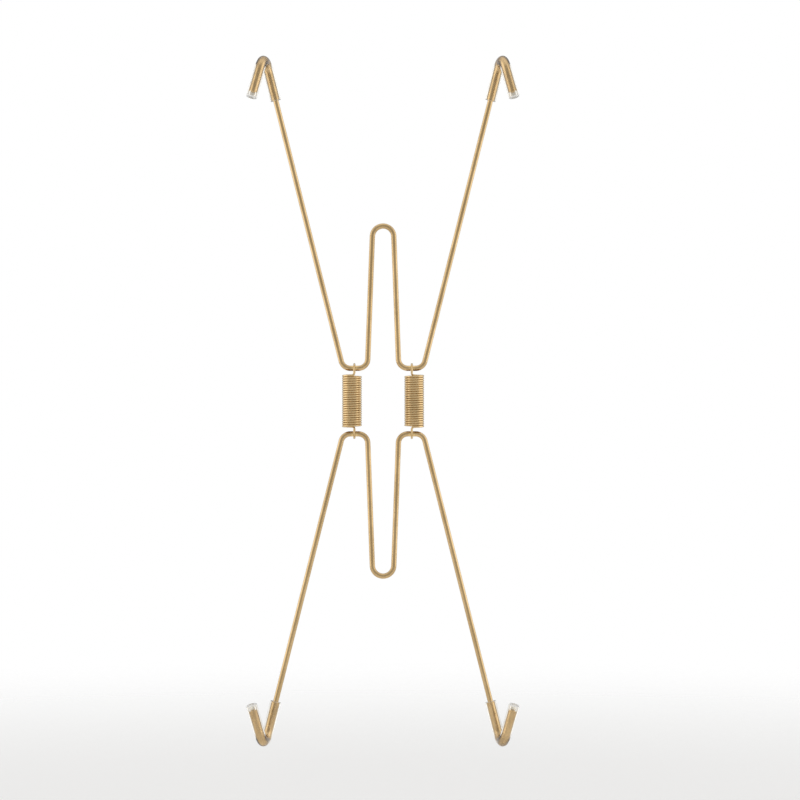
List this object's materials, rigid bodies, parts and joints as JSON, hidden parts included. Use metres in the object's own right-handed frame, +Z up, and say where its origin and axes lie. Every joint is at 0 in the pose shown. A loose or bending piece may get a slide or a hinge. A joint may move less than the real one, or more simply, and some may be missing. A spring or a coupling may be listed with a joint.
{
  "type": "wire plate hanger",
  "caption": "Spring wire hanger that grips a plate by its rim with sleeved hooks above and below, joined by extension springs, and hangs on a nail.",
  "frame": {"origin": "underside of the upper wire's central loop, where it bears on a nail, in the wire's middle plane", "axes": "+Z up along the springs, +Y towards the wall, -Y the side that the hooks open to, +X to the right seen from the front"},
  "size_m": [0.1004, 0.0184, 0.2557],
  "materials": {
    "brass_wire": "drawn brass wire, satin, lightly tarnished",
    "spring_wire": "brass-plated spring wire, bright",
    "clear_sleeve": "clear soft plastic tube, glossy"
  },
  "bodies": {
    "upper": {"upper_wire": "brass_wire", "upper_left_sleeve": "clear_sleeve", "upper_right_sleeve": "clear_sleeve"},
    "springs": {"left_spring": "spring_wire", "right_spring": "spring_wire"},
    "lower": {"lower_wire": "brass_wire", "lower_left_sleeve": "clear_sleeve", "lower_right_sleeve": "clear_sleeve"}
  },
  "joints": [
    {"name": "spring_swing", "type": "hinge", "parent": "upper", "child": "springs", "pos_m": [0, 0, -0.052], "axis": [1, 0, 0], "range_deg": [-90, 90]},
    {"name": "grip_stretch", "type": "slide", "parent": "springs", "child": "lower", "axis": [0, 0, -1], "range_m": [0, 0.035], "stiffness_N_per_m": 1220, "springref_m": -0.004, "deforming": ["left_spring", "right_spring"]}
  ]
}
